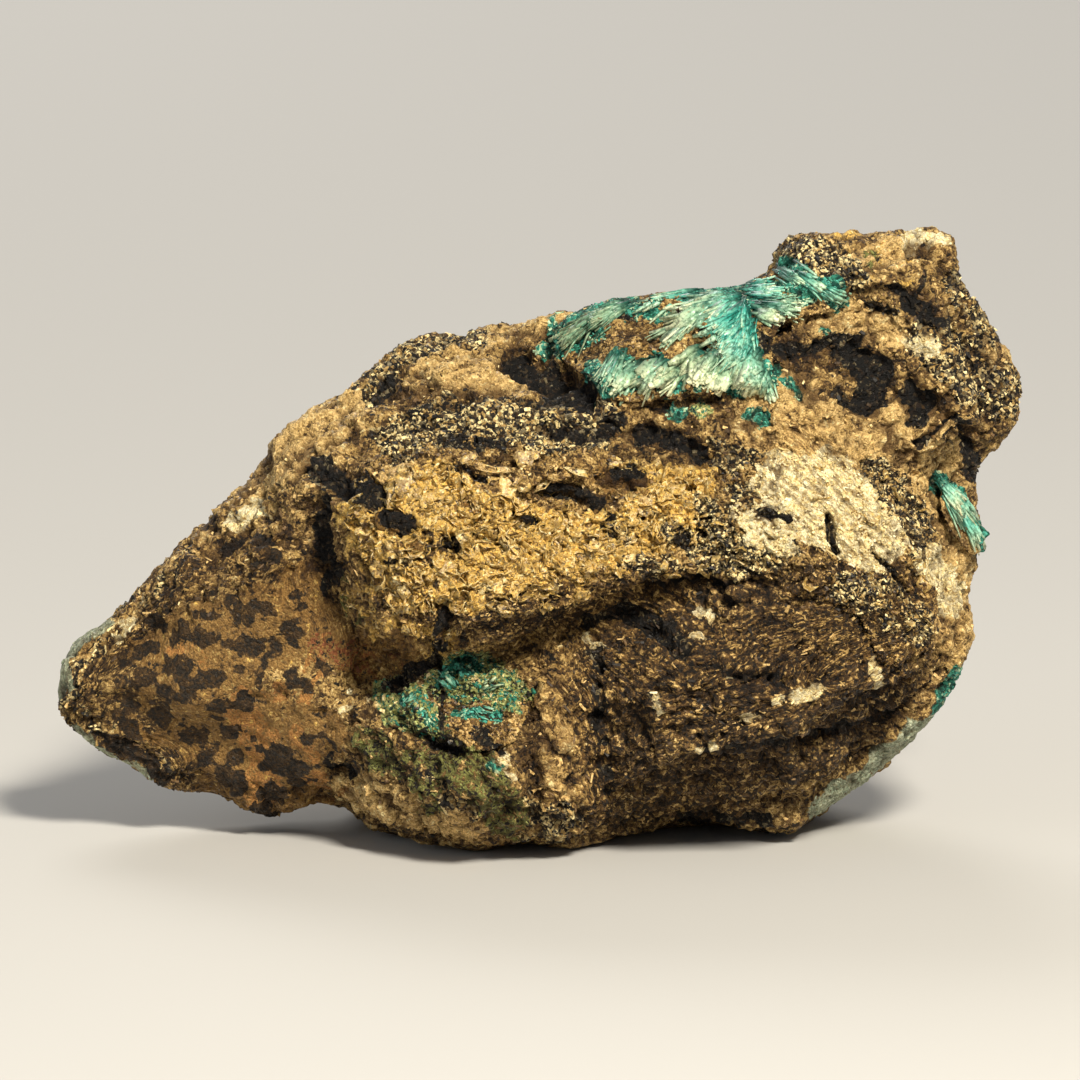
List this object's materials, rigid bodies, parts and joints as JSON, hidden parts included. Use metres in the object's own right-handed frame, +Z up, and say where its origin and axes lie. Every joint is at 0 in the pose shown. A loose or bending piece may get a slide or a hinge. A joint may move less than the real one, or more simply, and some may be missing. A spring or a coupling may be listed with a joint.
{
  "type": "mineral specimen",
  "caption": "Loose rough mineral specimen: a wedge of brown limonite with a pale hemimorphite crust and fans of teal aurichalcite, resting on a flat broken face.",
  "frame": {"origin": "middle of the bounding box's base, on the plane of the flat broken face the specimen rests on", "axes": "+X along the specimen from its pointed end to its blunt end, +Y from its crusted front to its back, +Z up"},
  "size_m": [0.0895, 0.0478, 0.0569],
  "materials": {
    "limonite": "rough and earthy, mottled tan, ochre and brown-black",
    "hemimorphite": "drusy, glassy cream to gold-tan",
    "aurichalcite": "silky needles, teal to mint"
  },
  "bodies": {
    "root": {"matrix_rock": "limonite", "hemimorphite_crust": "hemimorphite", "aurichalcite_ridge_sprays": "aurichalcite", "aurichalcite_side_vein": "aurichalcite", "aurichalcite_pocket_rosette": "aurichalcite"}
  },
  "joints": []
}
